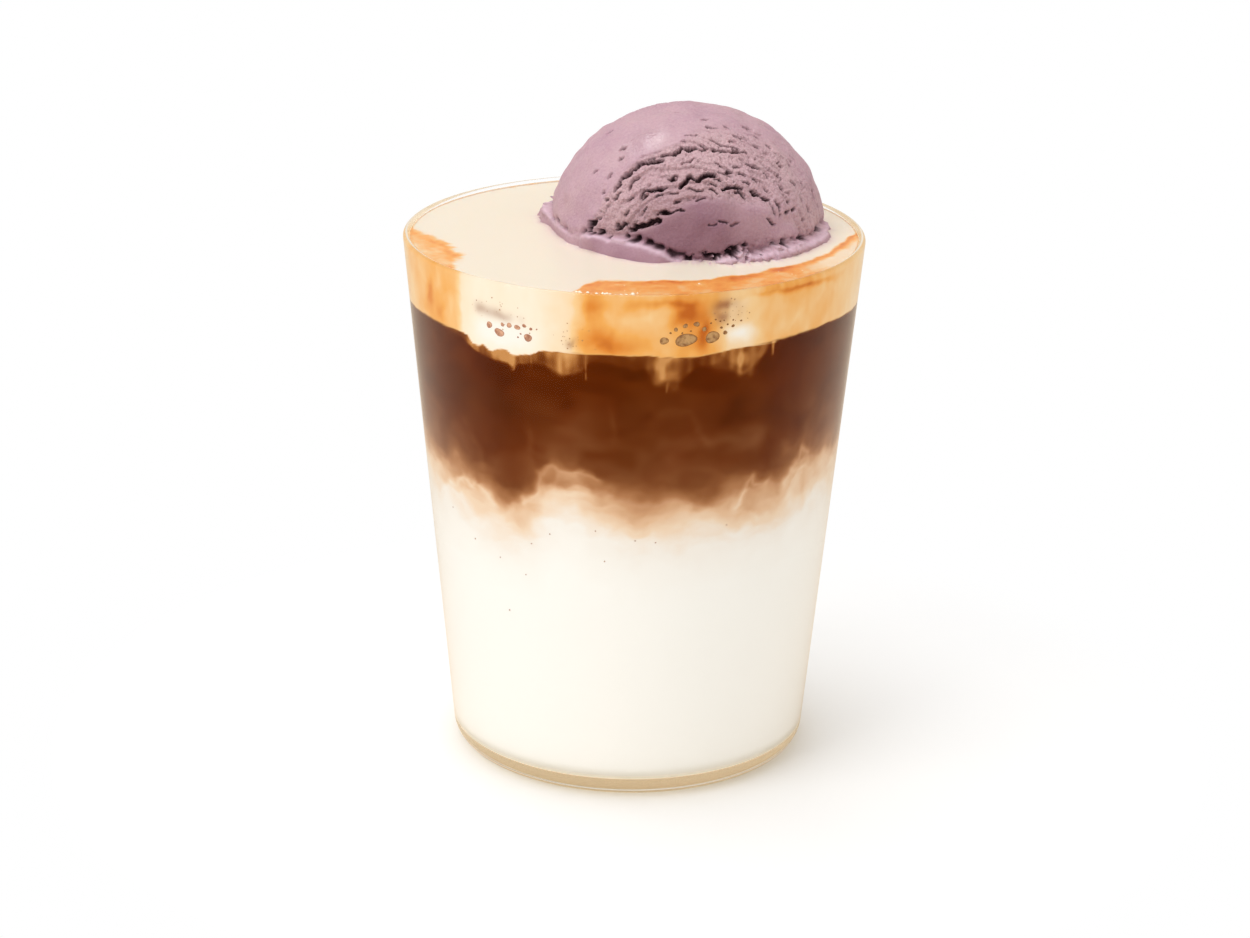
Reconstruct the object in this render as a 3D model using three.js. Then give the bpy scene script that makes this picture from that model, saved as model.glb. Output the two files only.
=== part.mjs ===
// Affogato in its tumbler: milk, coffee and cream lie in layers, and a scoop of ice cream sits on top.
// Millimetres, +Z up. The origin is the middle of the glass's foot, on the table.
// Azimuth runs round +Z from the shown side, -Y, and grows towards +X. Angles in the tables are degrees.
import * as THREE from 'three';
import { mergeVertices } from 'three/addons/utils/BufferGeometryUtils.js';

// Glass
const GLASS_HEIGHT = 98;
const RIM_RADIUS = 42;
const FOOT_RADIUS = 32.7; // where the sloping side, carried on down, meets the table
const WALL = 1.3;
const FLOOR = 3.2; // top of the glass floor
const OUTER_CORNER = 3.9;
const INNER_CORNER = 3.4;
const PUNT_RADIUS = 23; // the hollow under the foot
const PUNT_RISE = 1.1;

// Layers
const MILK_TOP = 56;
const COFFEE_TOP = 87;
const CREAM_TOP = 97.2;
const GAP = 0.3; // between neighbouring solids

// Scoop: its middle is level with the cream, a dome above and the flatter cut side sunk below
const SCOOP_X = 9.7;
const SCOOP_Y = 7;
const SCOOP_RADIUS = 25.15;
const SCOOP_HEIGHT = 22.9;
const SCOOP_DEPTH = 7.5;
const CRUMB = 0.7; // the swing of its uneven surface, and the size of the lumps
const CRUMB_SIZE = 2.8;

// The groove between the dome and the lip round its foot, and the lip's rounded, ragged top
const GROOVE = 0.6;
const LIP_TOP = 1.2;
const LIP_ROUGHNESS = 0.9;

// The lip that the cut edge leaves: azimuth, reach past the dome, height above the cream
const LIP = [
  [-150, 0.2, 1.2],
  [-118, 0.4, 1.6],
  [-106, 3.2, 2.6],
  [-92, 1.5, 2.8],
  [-78, 0, 2.4],
  [-50, 0, 2.7],
  [-36, 0.4, 4.2],
  [-22, 2, 4.7],
  [-12, 1.7, 2.6],
  [-3, 1.1, 0.5],
  [4, 0.9, 0.4],
  [12, 2.1, 1.2],
  [28, 2.7, 2.5],
  [50, 2.7, 2.7],
  [67, 2, 2.8],
  [94, 1.2, 2.4],
  [130, 0.2, 1.4],
  [170, 0.1, 1.8],
];

// Cracks torn across the dome. Each runs round the foot of the dome's front like a contour:
// degrees out from there at its two ends, the turn from straight up at each end, depth, half width.
const CRACKS = [
  { out: [45, 52], turn: [-49, -6], depth: 1.8, half: 2.1 },
  { out: [53, 54], turn: [-9, 6], depth: 2.2, half: 1.9 },
  { out: [55, 59], turn: [14, 31], depth: 2, half: 1.9 },
  { out: [34, 42], turn: [-5, 22], depth: 1.8, half: 1.9 },
  { out: [35, 33], turn: [-38, -19], depth: 1.1, half: 1.5 },
  { out: [37, 41], turn: [27, 40], depth: 1.3, half: 1.5 },
  { out: [44, 48], turn: [46, 58], depth: 1.6, half: 1.6 },
  { out: [26, 22], turn: [-62, -16], depth: 1.4, half: 1.8 },
  { out: [16, 26], turn: [16, 56], depth: 0.8, half: 1.5 },
  { out: [52, 66], turn: [70, 76], depth: 1.2, half: 1.7 },
  { out: [61, 62], turn: [-54, -47], depth: 0.8, half: 1.5 },
  { out: [76, 77], turn: [-38, -31], depth: 0.8, half: 1.5 },
  { out: [67, 69], turn: [9, 18], depth: 0.9, half: 1.5 },
];

// Mesh steps
const TURN_STEPS = 72; // round the glass and its layers
const SCOOP_STEPS = 96; // round the scoop, closer together on the shown side
const SCOOP_CROWDING = 0.4;
const ARC_STEPS = 4; // along a rounded corner

const SLOPE = (RIM_RADIUS - FOOT_RADIUS) / GLASS_HEIGHT;
const TAPER = Math.atan(SLOPE);
const radians = THREE.MathUtils.degToRad;
const lerp = THREE.MathUtils.lerp;

// A point at an azimuth and a distance from an upright axis.
function polar(azimuth, distance, z, x = 0, y = 0) {
  return new THREE.Vector3(x + distance * Math.sin(azimuth), y - distance * Math.cos(azimuth), z);
}

// Radius of the glass's outer side at a height, and of its inner side.
function outerRadius(z) {
  return FOOT_RADIUS + SLOPE * z;
}

function innerRadius(z) {
  return outerRadius(z) - WALL / Math.cos(TAPER);
}

// Steps along a corner's arc in a profile, from one angle to another about its middle.
function arc(middleRadius, middleZ, radius, from, to, steps) {
  return Array.from({ length: steps + 1 }, (_, i) => {
    const angle = lerp(from, to, i / steps);
    return new THREE.Vector2(middleRadius + radius * Math.cos(angle), middleZ + radius * Math.sin(angle));
  });
}

// Rounded corner between a level floor and a side that leans outwards.
function floorCorner(side, floorZ, radius) {
  const middleZ = floorZ + radius;
  return arc(side(middleZ) - radius / Math.cos(TAPER), middleZ, radius, -Math.PI / 2, -TAPER, ARC_STEPS);
}

// The solid between rings of points, each as long as the next. The first and last are single points.
function solidFromRings(rings) {
  const points = rings.flat();
  const columns = rings[1].length;
  const faces = [];
  const last = points.length - 1;
  for (let column = 0; column < columns; column += 1) {
    const next = (column + 1) % columns;
    faces.push(0, 1 + next, 1 + column);
    for (let ring = 0; ring < rings.length - 3; ring += 1) {
      const lower = 1 + ring * columns;
      const upper = lower + columns;
      faces.push(lower + column, lower + next, upper + next, lower + column, upper + next, upper + column);
    }
    const top = 1 + (rings.length - 3) * columns;
    faces.push(top + column, top + next, last);
  }
  const geometry = new THREE.BufferGeometry().setFromPoints(points);
  geometry.setIndex(faces);
  geometry.computeVertexNormals();
  return geometry;
}

// A repeatable value from 0 to 1 for each corner of a unit grid, and its smooth run between them.
function cornerValue(x, y, z) {
  const wave = Math.sin(x * 127.1 + y * 311.7 + z * 74.7) * 43758.5453;
  return wave - Math.floor(wave);
}

function noise(x, y, z) {
  const cell = [Math.floor(x), Math.floor(y), Math.floor(z)];
  const ease = [x - cell[0], y - cell[1], z - cell[2]].map((t) => t * t * (3 - 2 * t));
  let total = 0;
  for (let corner = 0; corner < 8; corner += 1) {
    const step = [corner & 1, (corner >> 1) & 1, corner >> 2];
    const weight = step.reduce((product, s, i) => product * (s ? ease[i] : 1 - ease[i]), 1);
    total += weight * cornerValue(cell[0] + step[0], cell[1] + step[1], cell[2] + step[2]);
  }
  return total;
}

// The tumbler: an open pressed glass with a sloping wall, a round rim and a hollow under its foot.
function tumbler() {
  const rimRound = WALL / 2;
  const rimZ = GLASS_HEIGHT - rimRound;
  const rimMiddle = outerRadius(rimZ) - rimRound / Math.cos(TAPER);
  const profile = [
    new THREE.Vector2(0, PUNT_RISE),
    new THREE.Vector2(PUNT_RADIUS - 3, PUNT_RISE),
    new THREE.Vector2(PUNT_RADIUS, 0),
    ...floorCorner(outerRadius, 0, OUTER_CORNER),
    ...arc(rimMiddle, rimZ, rimRound, -TAPER, Math.PI - TAPER, ARC_STEPS),
    ...floorCorner(innerRadius, FLOOR, INNER_CORNER).reverse(),
    new THREE.Vector2(0, FLOOR),
  ];
  const geometry = new THREE.LatheGeometry(profile, TURN_STEPS).rotateX(Math.PI / 2);
  geometry.deleteAttribute('normal');
  geometry.deleteAttribute('uv');
  return mergeVertices(geometry);
}

// One ring of points round the glass's axis.
function turn(pointAt, steps = TURN_STEPS) {
  return Array.from({ length: steps }, (_, i) => {
    const azimuth = (2 * Math.PI * i) / steps;
    return pointAt(azimuth > Math.PI ? azimuth - 2 * Math.PI : azimuth);
  });
}

// The coffee's border with the milk: a plume left of the front, and higher on the right.
const milkBorder = {
  mean: MILK_TOP,
  swing: (azimuth) => {
    const plume = 4 * Math.exp(-(((azimuth - radians(-17)) / radians(9)) ** 2));
    return plume + 2 * Math.cos(azimuth - radians(80)) + 0.7 * Math.sin(5 * azimuth);
  },
};

// The cream's border with the coffee is nearly level, and sags a little where the cream streams down.
const creamBorder = {
  mean: COFFEE_TOP,
  swing: (azimuth) => 0.5 * Math.cos(azimuth - radians(70)) + 0.4 * Math.sin(7 * azimuth),
};

// Height of a border: it swings most at the wall and is level on the glass's axis.
function borderHeight(border, azimuth, share) {
  return border.mean + share * border.swing(azimuth);
}

// A ring on a border, at a share of the way from the glass's axis to its wall.
function borderRing(border, share, shift) {
  return turn((azimuth) => {
    const z = borderHeight(border, azimuth, share) + shift;
    return polar(azimuth, (innerRadius(z) - GAP) * share, z);
  });
}

function axisPoint(z) {
  return [new THREE.Vector3(0, 0, z)];
}

function milk() {
  const shift = -GAP / 2;
  const corner = floorCorner((z) => innerRadius(z) - GAP, FLOOR + GAP, INNER_CORNER - GAP);
  return solidFromRings([
    axisPoint(FLOOR + GAP),
    ...corner.map((p) => turn((azimuth) => polar(azimuth, p.x, p.y))),
    ...[1, 0.75, 0.4].map((share) => borderRing(milkBorder, share, shift)),
    axisPoint(MILK_TOP + shift),
  ]);
}

function coffee() {
  const shift = GAP / 2;
  return solidFromRings([
    axisPoint(MILK_TOP + shift),
    ...[0.4, 0.75, 1].map((share) => borderRing(milkBorder, share, shift)),
    ...[1, 0.75, 0.4].map((share) => borderRing(creamBorder, share, -shift)),
    axisPoint(COFFEE_TOP - shift),
  ]);
}

// The lip's reach and height at an azimuth about the scoop, eased between the rows of its table.
function lipAt(azimuth) {
  const degrees = THREE.MathUtils.radToDeg(azimuth);
  const after = LIP.findIndex((row) => row[0] > degrees);
  const end = LIP[after < 0 ? 0 : after];
  const start = LIP.at(after < 0 ? -1 : after - 1);
  const span = THREE.MathUtils.euclideanModulo(end[0] - start[0], 360);
  const share = THREE.MathUtils.smoothstep(THREE.MathUtils.euclideanModulo(degrees - start[0], 360) / span, 0, 1);
  return { reach: lerp(start[1], end[1], share), height: lerp(start[2], end[2], share) };
}

// How deep the cracks cut at a direction, given as its angle out from the dome's front foot and its
// turn from straight up. The upper edge of a crack is steeper than the lower one.
function crackDepth(out, turned) {
  let depth = 0;
  for (const crack of CRACKS) {
    const along = (turned - crack.turn[0]) / (crack.turn[1] - crack.turn[0]);
    if (along > 0 && along < 1) {
      const above = out - lerp(crack.out[0], crack.out[1], along);
      const across = above / (crack.half * (above > 0 ? 0.7 : 1.3));
      const taper = Math.min(1, 8 * along * (1 - along));
      depth = Math.max(depth, crack.depth * taper * Math.exp(-across * across));
    }
  }
  return depth;
}

// Distance from the scoop's middle to its surface in a direction, above the cream.
function domeRadius(azimuth, elevation) {
  const direction = polar(azimuth, Math.cos(elevation), Math.sin(elevation));
  const out = THREE.MathUtils.radToDeg(Math.acos(-direction.y));
  const turned = THREE.MathUtils.radToDeg(Math.atan2(direction.x, direction.z));
  const ellipse = 1 / Math.hypot(Math.cos(elevation) / SCOOP_RADIUS, Math.sin(elevation) / SCOOP_HEIGHT);
  const crumb = direction.clone().multiplyScalar(SCOOP_RADIUS / CRUMB_SIZE);
  const dome = ellipse + CRUMB * (noise(crumb.x, crumb.y, crumb.z) - 0.5) - crackDepth(out, turned);
  const lip = lipAt(azimuth);
  const rough = noise(azimuth * 8, elevation * 9, 3) - 0.5;
  const lipFace = (SCOOP_RADIUS + lip.reach + LIP_ROUGHNESS * rough) / Math.cos(elevation);
  const over = lipFace * Math.sin(elevation) - lip.height - LIP_ROUGHNESS * rough;
  const fade = 1 - THREE.MathUtils.smoothstep(over, 0, LIP_TOP);
  const groove = GROOVE * Math.exp(-(((over - LIP_TOP) / GROOVE) ** 2));
  return lerp(dome, Math.max(dome, lipFace), fade) - groove;
}

// A ring of the scoop, or of the pocket round it, by the elevation of its points: the dome and its lip
// above the cream, and below it a shallow bowl that starts at the lip's foot.
function scoopRing(elevation, clear = 0) {
  return turn((even) => {
    const azimuth = even - SCOOP_CROWDING * Math.sin(even);
    if (elevation >= 0) {
      const radius = domeRadius(azimuth, elevation) + clear;
      const z = CREAM_TOP + radius * Math.sin(elevation);
      return polar(azimuth, radius * Math.cos(elevation), z, SCOOP_X, SCOOP_Y);
    }
    const reach = (domeRadius(azimuth, 0) + clear) * Math.cos(elevation);
    return polar(azimuth, reach, CREAM_TOP + (SCOOP_DEPTH + clear) * Math.sin(elevation), SCOOP_X, SCOOP_Y);
  }, SCOOP_STEPS);
}

// Elevations of the rings under the cream, from the deepest up.
const SUNK = [-75, -55, -35, -15].map(radians);

function scoop() {
  const lipRings = Array.from({ length: 9 }, (_, i) => radians(1.4 * i));
  const domeRings = Array.from({ length: 25 }, (_, i) => radians(13.5 + 3 * i));
  return solidFromRings([
    [new THREE.Vector3(SCOOP_X, SCOOP_Y, CREAM_TOP - SCOOP_DEPTH)],
    ...[...SUNK, ...lipRings, ...domeRings].map((elevation) => scoopRing(elevation)),
    [new THREE.Vector3(SCOOP_X, SCOOP_Y, CREAM_TOP + SCOOP_HEIGHT)],
  ]);
}

// Where the line from the scoop's axis through a point meets the glass's inner side at a height.
function onWall(point, z) {
  const along = new THREE.Vector2(point.x - SCOOP_X, point.y - SCOOP_Y).normalize();
  const middle = SCOOP_X * along.x + SCOOP_Y * along.y;
  const radius = innerRadius(z) - GAP;
  const distance = Math.sqrt(middle ** 2 - SCOOP_X ** 2 - SCOOP_Y ** 2 + radius ** 2) - middle;
  return new THREE.Vector3(SCOOP_X + distance * along.x, SCOOP_Y + distance * along.y, z);
}

// The cream fills the glass to just under its rim, round a pocket for the scoop.
function cream() {
  const shore = scoopRing(0, GAP);
  const floorAt = (x, y) => {
    const share = Math.min(1, Math.hypot(x, y) / (innerRadius(COFFEE_TOP) - GAP));
    return borderHeight(creamBorder, Math.atan2(x, -y), share) + GAP / 2;
  };
  const floorRing = (share) => shore.map((p) => {
    const edge = onWall(p, COFFEE_TOP);
    const x = lerp(SCOOP_X, edge.x, share);
    const y = lerp(SCOOP_Y, edge.y, share);
    return new THREE.Vector3(x, y, floorAt(x, y));
  });
  return solidFromRings([
    [new THREE.Vector3(SCOOP_X, SCOOP_Y, floorAt(SCOOP_X, SCOOP_Y))],
    ...[0.4, 0.75].map(floorRing),
    floorRing(1).map((p) => onWall(p, p.z)),
    shore.map((p) => onWall(p, CREAM_TOP)),
    shore,
    ...SUNK.toReversed().map((elevation) => scoopRing(elevation, GAP)),
    [new THREE.Vector3(SCOOP_X, SCOOP_Y, CREAM_TOP - SCOOP_DEPTH - GAP)],
  ]);
}

// One named solid of the object, with its colour and finish.
function piece(name, geometry, color, roughness, extra = {}) {
  const mesh = new THREE.Mesh(geometry, new THREE.MeshStandardMaterial({ color, roughness, metalness: 0, ...extra }));
  mesh.name = name;
  return mesh;
}

const affogato = new THREE.Group();
affogato.add(
  piece('glass', tumbler(), 0xf2f4f2, 0.05, { transparent: true, opacity: 0.3 }),
  piece('milk', milk(), 0xfaf5ea, 0.4),
  piece('coffee', coffee(), 0x6b3a1c, 0.3),
  piece('cream', cream(), 0xf5e6d2, 0.45),
  piece('ice_cream', scoop(), 0xb98d97, 0.6),
);

export default affogato;
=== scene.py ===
import math

import bpy
import numpy as np
from mathutils import Matrix, Vector

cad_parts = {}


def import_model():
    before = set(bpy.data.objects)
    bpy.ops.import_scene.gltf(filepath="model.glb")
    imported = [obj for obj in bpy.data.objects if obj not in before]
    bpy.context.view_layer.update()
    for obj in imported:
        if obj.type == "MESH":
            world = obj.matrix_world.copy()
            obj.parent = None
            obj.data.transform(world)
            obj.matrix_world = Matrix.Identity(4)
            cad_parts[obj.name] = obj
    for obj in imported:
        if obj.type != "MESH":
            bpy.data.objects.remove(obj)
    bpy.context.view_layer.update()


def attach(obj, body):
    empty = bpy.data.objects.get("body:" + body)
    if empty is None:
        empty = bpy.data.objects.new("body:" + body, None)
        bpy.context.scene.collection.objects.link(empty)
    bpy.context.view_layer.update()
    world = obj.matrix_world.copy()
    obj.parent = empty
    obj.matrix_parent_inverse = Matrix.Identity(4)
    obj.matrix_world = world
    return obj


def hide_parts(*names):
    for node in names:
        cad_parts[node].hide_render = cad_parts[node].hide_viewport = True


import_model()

# The affogato in its tumbler. Lengths are millimetres until a mesh is made, and angles in the tables
# are degrees. Azimuth runs round +Z from the shown side, -Y, and grows towards +X.
MM = 0.001

# Glass
GLASS_HEIGHT = 98
RIM_RADIUS = 42
FOOT_RADIUS = 32.7  # where the sloping side, carried on down, meets the table
WALL = 1.3
FLOOR = 3.2
OUTER_CORNER = 3.9
INNER_CORNER = 3.4
PUNT_RADIUS = 23
PUNT_RISE = 1.1
GLASS_IOR = 1.45
REACH = 0.15  # how far the drink's pieces go into the glass, so that no air shows between

# Layers
MILK_TOP = 56
COFFEE_TOP = 87
CREAM_TOP = 97.2
WALL_RADIUS = 38.5  # about the drink's radius, for turning degrees into millimetres

# Scoop
SCOOP_X = 9.7
SCOOP_Y = 7
SCOOP_RADIUS = 25.15
SCOOP_HEIGHT = 22.6
SCOOP_DEPTH = 7.5
LUMP = 0.7  # height of the lumps on it
LUMP_SIZE = 2.8
GROOVE = 0.6  # depth and half width of the groove behind the lip
LIP_TOP = 0.7  # height over which the lip goes back to the dome
LIP_ROUGHNESS = 0.9

SLOPE = (RIM_RADIUS - FOOT_RADIUS) / GLASS_HEIGHT
TAPER = math.atan(SLOPE)

# The lip that the scoop's cut edge leaves: azimuth, reach past the dome, height above the cream, how
# deep the groove behind it is, as a share of GROOVE, and how crumbly it is
LIP = [
    [-150, 0.2, 1.2, 0.3, 0.4], [-118, 0.6, 1.6, 0.8, 0.7], [-106, 2.6, 2.2, 1.6, 1],
    [-92, 1.6, 2.6, 1.8, 0.8], [-82, 0.3, 2.2, 0.9, 0.3], [-70, 0.2, 2.1, 0.7, 0.15],
    [-57, 0.2, 1.9, 0.5, 0.1], [-51, 0, 1.8, 0.1, 0.1], [-48, 0.6, 2.4, 1.2, 0.1],
    [-36, 0.8, 3.1, 1.4, 0.12], [-27, 1.3, 2.9, 1.5, 0.12], [-20, 2, 3, 1.5, 0.12],
    [-12, 1.7, 1.9, 1.3, 0.2], [-5, 1.1, 0.9, 0.9, 0.4], [4, 0.8, 0.4, 1.6, 1], [12, 2, 0.9, 1.9, 1.1],
    [28, 2.5, 1.4, 1.4, 1.1], [42, 2.5, 1.3, 1.1, 0.9], [56, 2.3, 1.3, 1.1, 0.6],
    [70, 1.8, 1.3, 0.9, 0.5], [82, 0.8, 1, 0.5, 0.5], [96, 0.3, 0.8, 0.3, 0.6], [130, 0.2, 0.9, 0.3, 0.5],
    [170, 0.1, 1.2, 0.3, 0.4],
]

# Cracks torn across the dome: depth, half width in millimetres, and points along each as degrees out
# from the foot of its front and the turn there from straight up
CRACKS = [
    [1.9, 0.55, [[45, -50], [47, -42], [48, -35], [50, -30]]],
    [1.7, 0.5, [[50, -30], [48, -25], [47, -17]]], [1.9, 0.45, [[50, -16], [50, -10], [52, -5], [52, 3]]],
    [1.5, 0.4, [[53, 13], [54, 18], [54, 22], [57, 30]]], [0.8, 0.22, [[66, 8], [67, 14]]],
    [0.6, 0.2, [[59, -3], [60, 4]]], [0.8, 0.25, [[52, 33], [53, 40]]], [0.9, 0.35, [[64, 47], [65, 50]]],
    [0.8, 0.3, [[45, 15], [45, 19]]], [0.6, 0.25, [[43, -5], [46, 3]]],
    [1.6, 0.5, [[32, -8], [36, 0], [35, 5], [39, 12], [39, 17]]], [0.9, 0.3, [[37, 18], [38, 21]]],
    [0.9, 0.3, [[42, 24], [43, 27]]], [1.2, 0.38, [[35, 26], [38, 31], [39, 37]]],
    [0.8, 0.25, [[42, 36], [43, 40]]], [1.7, 0.5, [[42, 44], [41, 47], [43, 51], [45, 56]]],
    [1.4, 0.4, [[35, -40], [36, -36], [34, -28], [33, -22]]], [0.8, 0.3, [[37, -16], [37, -13]]],
    [0.9, 0.35, [[49, -57], [49, -55]]], [0.8, 0.3, [[42, -54], [42, -49]]],
    [1.5, 0.6, [[47, -78], [47, -74], [44, -71]]], [1.1, 0.45, [[34, -70], [32, -63]]],
    [1.7, 0.6, [[28, -64], [25, -54], [23, -47], [21, -38]]], [1.6, 0.65, [[23, -29], [22, -20]]],
    [0.8, 0.3, [[22, -16], [21, -6]]], [0.7, 0.25, [[26, 6], [28, 14]]], [0.6, 0.2, [[18, 28], [19, 34]]],
    [0.8, 0.25, [[21, 35], [22, 44]]], [0.6, 0.2, [[23, 49], [26, 53]]],
    [0.9, 0.35, [[38, 64], [41, 70]]], [1.1, 0.5, [[49, 68], [51, 68]]], [1, 0.4, [[54, 69], [56, 69]]],
    [0.8, 0.3, [[54, 55], [55, 57]]], [0.8, 0.3, [[54, 44], [53, 47]]],
    [1.6, 0.8, [[128, -40], [125, -15], [122, 10]]], [1.2, 0.6, [[112, 25], [116, 60]]],
]

# Small slits in the smooth skin: degrees out, turn
DASHES = [
    [80, -38], [62, -35], [61, -53], [53, -48], [57, -38], [80, -6], [73, 7], [76, 27], [65, 26], [51, 7],
    [77, 29], [64, 34], [60, 22], [54, 56], [63, 60], [63, 68], [66, 74], [70, 40], [72, 52], [58, 52],
    [69, 64], [70, 18], [47, 62], [26, -12],
]


def polar(azimuth, distance, z, x=0, y=0):
    """Points at an azimuth in radians and a distance from an upright axis."""
    azimuth, distance, z = np.broadcast_arrays(azimuth, distance, z)
    return np.stack([x + distance * np.sin(azimuth), y - distance * np.cos(azimuth), z], -1)


def outer_radius(z):
    return FOOT_RADIUS + SLOPE * z


def inner_radius(z):
    return outer_radius(z) - WALL / math.cos(TAPER)


def drink_radius(z):
    return inner_radius(z) + REACH


def smooth(value, low, high):
    """0 at low, 1 at high and eased between. low may be above high."""
    share = np.clip((value - low) / (high - low), 0, 1)
    return share * share * (3 - 2 * share)


def table(rows, at, column=1):
    """A column of a table at values of its first column, joined by straight lines."""
    rows = np.array(rows, float)
    return np.interp(at, rows[:, 0], rows[:, column])


def from_path(path, places):
    """Distance of places in a plane from a line through points, and the nearest place on that line."""
    nearest = 1e9
    closest = 0
    for start, end in zip(np.array(path, float), np.array(path[1:], float)):
        along = np.clip((places - start) @ (end - start) / ((end - start) @ (end - start)), 0, 1)
        on_line = start + along[..., None] * (end - start)
        away = np.linalg.norm(places - on_line, axis=-1)
        closest = np.where((away < nearest)[..., None], on_line, closest)
        nearest = np.minimum(nearest, away)
    return nearest, closest


# Repeatable noise

def corner_value(x, y, z):
    wave = np.sin(x * 127.1 + y * 311.7 + z * 74.7) * 43758.5453
    return wave - np.floor(wave)


def noise(x, y, z):
    """Smooth noise from 0 to 1."""
    places = np.broadcast_arrays(x, y, z)
    cells = [np.floor(place) for place in places]
    eases = [smooth(place - cell, 0, 1) for place, cell in zip(places, cells)]
    total = 0
    for corner in range(8):
        steps = [corner & 1, corner >> 1 & 1, corner >> 2]
        weight = 1
        for step, ease in zip(steps, eases):
            weight = weight * (ease if step else 1 - ease)
        total = total + weight * corner_value(*(cell + step for cell, step in zip(cells, steps)))
    return total


def scaled(mm, size):
    """Noise coordinates for points in millimetres and lumps of a size in millimetres."""
    return np.moveaxis(mm / size, -1, 0)


def layered(x, y, z, layers=3):
    """Noise about 0 with finer and weaker layers on it, mostly within 0.5 of it."""
    total = 0
    strength = 1
    size = 1
    for layer in range(layers):
        total = total + strength * (noise(x * size + 17 * layer, y * size, z * size) - 0.5)
        strength *= 0.5
        size *= 2.03
    return total / 1.6


# Meshes

def new_object(name, points, faces):
    mesh = bpy.data.meshes.new(name)
    mesh.from_pydata((np.asarray(points) * MM).tolist(), [], faces)
    mesh.update()
    mesh.polygons.foreach_set("use_smooth", [True] * len(mesh.polygons))
    made = bpy.data.objects.new(name, mesh)
    bpy.context.collection.objects.link(made)
    return made


def closed_faces(rings, columns, first=0):
    """Faces of a closed surface from an end point, whose index is first, over rings to the other end."""
    here = np.arange(columns)
    after = (here + 1) % columns
    rows = first + 1 + columns * np.arange(rings - 1)[:, None]
    quads = np.stack([rows + here, rows + after, rows + columns + after, rows + columns + here], -1)
    top = first + 1 + columns * (rings - 1)
    starts = np.stack([first + 0 * here, first + 1 + after, first + 1 + here], -1)
    ends = np.stack([top + here, top + after, top + columns + 0 * here], -1)
    return starts.tolist() + quads.reshape(-1, 4).tolist() + ends.tolist()


def ringed(name, first, rings, last):
    """A closed surface through rings of points, from one end point to the other."""
    rings = np.asarray(rings)
    points = np.concatenate([[first], rings.reshape(-1, 3), [last]])
    return new_object(name, points, closed_faces(*rings.shape[:2]))


def set_values(made, name, values):
    """Gives each point of a mesh a named number for its material to read, or changes it."""
    layer = made.data.attributes.get(name) or made.data.attributes.new(name, "FLOAT", "POINT")
    layer.data.foreach_set("value", np.asarray(values, np.float32).ravel())


def points_of(made):
    """The points of a mesh, in millimetres."""
    flat = np.empty(3 * len(made.data.vertices))
    made.data.vertices.foreach_get("co", flat)
    return flat.reshape(-1, 3) / MM


def stands_for(made, node, look):
    """A piece that replaces a CAD node of the one body."""
    made.data.materials.append(look)
    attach(made, "root")
    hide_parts(node)


# Materials

def rgb(*screen):
    """A colour as it shows on a screen, 0 to 255, as the shader's own light values."""
    shares = [value / 255 for value in screen]
    return *[share / 12.92 if share <= 0.04045 else ((share + 0.055) / 1.055) ** 2.4 for share in shares], 1


class Look:
    """A material or a world, and short calls for its nodes."""

    def __init__(self, name, kind="materials"):
        self.owner = getattr(bpy.data, kind).new(name)
        self.owner.use_nodes = True
        self.tree = self.owner.node_tree
        self.tree.nodes.clear()

    def add(self, kind, inputs=(), **settings):
        """A new node. Its inputs are values or the outputs of other nodes."""
        node = self.tree.nodes.new("ShaderNode" + kind)
        for key, value in settings.items():
            setattr(node, key, value)
        for key, value in dict(inputs).items():
            if isinstance(value, bpy.types.NodeSocket):
                self.tree.links.new(value, node.inputs[key])
            else:
                node.inputs[key].default_value = value
        return node

    def shader(self, kind, inputs):
        return self.add(kind, inputs).outputs[0]

    def principled(self, colour, roughness, specular, others=()):
        inputs = {"Base Color": colour, "Roughness": roughness, "Specular IOR Level": specular}
        return self.shader("BsdfPrincipled", inputs | dict(others))

    def finish(self, shader):
        self.add("OutputMaterial", {"Surface": shader})
        return self.owner

    def value(self, name):
        """A number that the points of the mesh carry."""
        return self.add("Attribute", attribute_name=name).outputs["Fac"]

    def place(self):
        return self.add("TexCoord").outputs["Object"]

    def height(self):
        """Height over the table, in metres."""
        return self.add("SeparateXYZ", {0: self.place()}).outputs["Z"]

    def noise(self, size, detail):
        """Noise from 0 to 1 with lumps of about a size in millimetres."""
        inputs = {"Vector": self.place(), "Scale": 1 / (size * MM), "Detail": detail}
        return self.add("TexNoise", inputs).outputs["Fac"]

    def ramp(self, share, rows):
        """The colour at a share, from a table that runs from 0 to 1."""
        node = self.add("ValToRGB", {"Fac": share})
        stops = node.color_ramp.elements
        stops[0].color = rgb(*rows[0][1:])
        stops[1].color = rgb(*rows[-1][1:])
        for position, *colour in rows[1:-1]:
            stops.new(position).color = rgb(*colour)
        return node.outputs["Color"]

    def mix(self, share, first, second, blend="MIX"):
        inputs = {0: share, 6: first, 7: second}
        return self.add("Mix", inputs, data_type="RGBA", blend_type=blend).outputs[2]

    def maths(self, operation, first, second):
        return self.add("Math", {0: first, 1: second}, operation=operation).outputs[0]

    def times(self, first, second):
        return self.maths("MULTIPLY", first, second)

    def spread(self, value, low, high, to_low=0.0, to_high=1.0):
        """A value's run from low to high turned into another run."""
        inputs = {"Value": value, "From Min": low, "From Max": high, "To Min": to_low, "To Max": to_high}
        return self.add("MapRange", inputs).outputs["Result"]

    def mirrored(self):
        """1 for what is seen mirrored in something, or else 0."""
        path = self.add("LightPath").outputs
        return self.times(path["Is Glossy Ray"], path["Is Reflection Ray"])

    def bump(self, height, depth, strength=1.0):
        inputs = {"Height": height, "Distance": depth * MM, "Strength": strength}
        return self.add("Bump", inputs).outputs["Normal"]


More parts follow.
